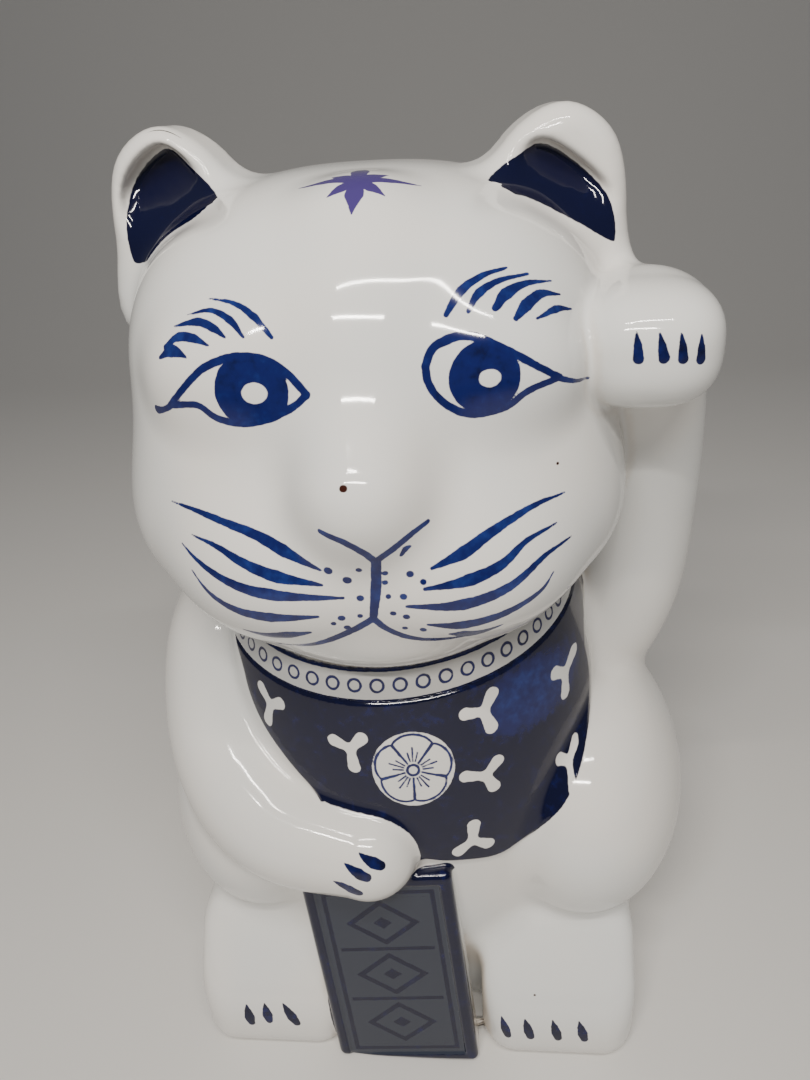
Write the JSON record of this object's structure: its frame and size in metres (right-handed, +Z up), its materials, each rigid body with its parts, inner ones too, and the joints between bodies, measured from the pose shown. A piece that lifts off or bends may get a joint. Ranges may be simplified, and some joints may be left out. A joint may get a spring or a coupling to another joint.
{
  "type": "beckoning cat figurine",
  "caption": "Hollow glazed porcelain cat seated upright, one forepaw raised beside its head and the other resting over a small standing plaque.",
  "frame": {"origin": "middle of the bounding box's underside, on the surface the figurine stands on", "axes": "+Z up; the cat faces -Y; +X is the cat's own left, the side of the raised forepaw"},
  "size_m": [0.1162, 0.1068, 0.18],
  "materials": {
    "head": "glossy white glaze with cobalt brush strokes for eyes, brows, mouth and whiskers",
    "left_ear": "glossy white glaze, dark cobalt inside",
    "right_ear": "glossy white glaze, dark cobalt inside",
    "torso": "glossy white glaze",
    "left_hind_leg": "glossy white glaze with cobalt claws",
    "right_hind_leg": "glossy white glaze with cobalt claws",
    "raised_arm": "glossy white glaze with cobalt claws",
    "lowered_arm": "glossy white glaze with cobalt claws",
    "tail": "glossy white glaze",
    "collar": "glossy grey-white band with painted rings",
    "bib": "glossy dark cobalt with white reserved blossoms",
    "plaque": "glossy grey-blue panel with a dark border",
    "base_disc": "unglazed, matt"
  },
  "bodies": {
    "root": {"head": "head", "left_ear": "left_ear", "right_ear": "right_ear", "torso": "torso", "left_hind_leg": "left_hind_leg", "right_hind_leg": "right_hind_leg", "raised_arm": "raised_arm", "lowered_arm": "lowered_arm", "tail": "tail", "collar": "collar", "bib": "bib", "plaque": "plaque", "base_disc": "base_disc"}
  },
  "joints": []
}
